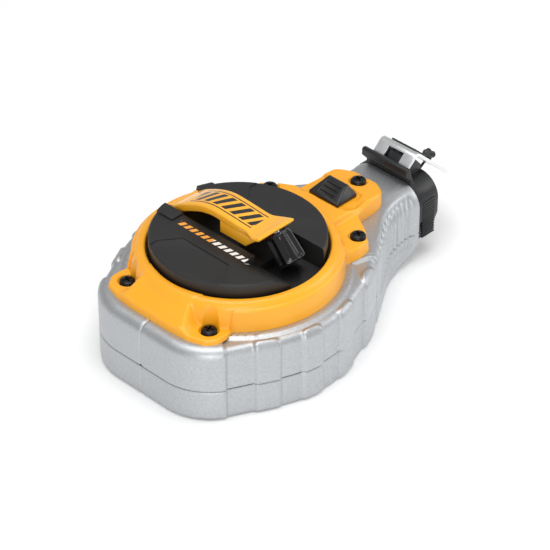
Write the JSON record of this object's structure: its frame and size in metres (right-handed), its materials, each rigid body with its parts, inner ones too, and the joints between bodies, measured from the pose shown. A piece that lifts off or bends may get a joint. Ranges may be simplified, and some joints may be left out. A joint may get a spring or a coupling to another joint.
{
  "type": "chalk line reel",
  "caption": "Pear-shaped cast chalk line reel with a geared folding crank, clutch slide, hinged filling mouth and bent end hook.",
  "frame": {"origin": "where the spool's axis meets the flat back of the housing", "axes": "+Z along the spool axis from the back towards the crank, +X along the neck towards the mouth, +Y to the left of the neck"},
  "size_m": [0.1929, 0.114, 0.0684],
  "materials": {
    "cast_aluminium": "satin cast",
    "cover_yellow": "satin moulded",
    "arm_yellow": "glossy moulded",
    "disc_charcoal": "fine texture",
    "knob_black": "glossy moulded",
    "button_black": "satin moulded",
    "mouth_black": "satin moulded",
    "spool_grey": "moulded",
    "gear_nylon": "moulded",
    "black_steel": "black oxide",
    "steel": "machined",
    "stainless": "polished",
    "bronze": "sintered",
    "rubber": "matt",
    "felt": "felted",
    "line": "braided, chalk-stained"
  },
  "bodies": {
    "housing": {"lower_shell": "cast_aluminium", "upper_shell": "cast_aluminium", "shell_screws": "black_steel", "shell_gasket": "rubber", "cover_plate": "cover_yellow", "cover_screws": "black_steel", "spool_bush_lower": "bronze", "spool_bush_upper": "bronze", "shaft_felt_seal": "felt", "line_feed": "line", "ring_gear": "gear_nylon", "mouth_pin": "steel"},
    "crank": {"crank_disc": "disc_charcoal", "planet_carrier": "steel", "planet_pins": "steel", "carrier_screws": "steel", "arm_pin": "steel"},
    "arm": {"crank_arm": "arm_yellow", "knob_axle": "steel"},
    "knob": {"crank_knob": "knob_black"},
    "spool": {"spool": "spool_grey", "line_pack": "line", "spool_shaft": "steel", "sun_gear": "steel"},
    "planet_1": {"planet_gear_1": "gear_nylon"},
    "planet_2": {"planet_gear_2": "gear_nylon"},
    "planet_3": {"planet_gear_3": "gear_nylon"},
    "slide": {"clutch_button": "button_black", "cam_plate": "steel"},
    "pawl": {"clutch_pawl": "steel"},
    "mouth": {"mouth_nose": "mouth_black", "felt_wipers": "felt", "line_strand": "line"},
    "hook": {"end_hook": "stainless", "hook_pad": "rubber", "line_knot": "line"}
  },
  "joints": [
    {"name": "crank_spin", "type": "hinge", "parent": "housing", "child": "crank", "pos_m": [0, 0, 0.05], "axis": [0, 0, 1], "continuous": true},
    {"name": "spool_spin", "type": "hinge", "parent": "housing", "child": "spool", "pos_m": [0, 0, 0.02], "axis": [0, 0, 1], "continuous": true},
    {"name": "arm_fold", "type": "hinge", "parent": "crank", "child": "arm", "pos_m": [0, 0.0364, 0.0534], "axis": [-1, 0, 0], "range_deg": [0, 135]},
    {"name": "knob_spin", "type": "hinge", "parent": "arm", "child": "knob", "pos_m": [0.007, -0.0171, 0.0614], "axis": [0, -0.682, -0.7314], "continuous": true},
    {"name": "clutch_slide", "type": "slide", "parent": "housing", "child": "slide", "axis": [0, 1, 0], "range_m": [0, 0.005]},
    {"name": "pawl_slide", "type": "slide", "parent": "housing", "child": "pawl", "axis": [1, 0, 0], "range_m": [0, 0.002]},
    {"name": "mouth_hinge", "type": "hinge", "parent": "housing", "child": "mouth", "pos_m": [0.1022, 0, 0.0098], "axis": [0, 1, 0], "range_deg": [0, 80]},
    {"name": "hook_lift", "type": "slide", "parent": "mouth", "child": "hook", "axis": [0.7314, 0, 0.682], "range_m": [0, 0.025]},
    {"name": "planet_1_spin", "type": "hinge", "parent": "crank", "child": "planet_1", "pos_m": [0.0144, 0, 0.0405], "axis": [0, 0, 1], "continuous": true},
    {"name": "planet_2_spin", "type": "hinge", "parent": "crank", "child": "planet_2", "pos_m": [-0.0072, 0.01247, 0.0405], "axis": [0, 0, 1], "continuous": true},
    {"name": "planet_3_spin", "type": "hinge", "parent": "crank", "child": "planet_3", "pos_m": [-0.0072, -0.01247, 0.0405], "axis": [0, 0, 1], "continuous": true}
  ],
  "couplings": [
    {"joint": "spool_spin", "follows": "crank_spin", "ratio": 6},
    {"joint": "pawl_slide", "follows": "clutch_slide", "ratio": 0.4},
    {"joint": "planet_1_spin", "follows": "crank_spin", "ratio": -2.5},
    {"joint": "planet_2_spin", "follows": "crank_spin", "ratio": -2.5},
    {"joint": "planet_3_spin", "follows": "crank_spin", "ratio": -2.5}
  ]
}
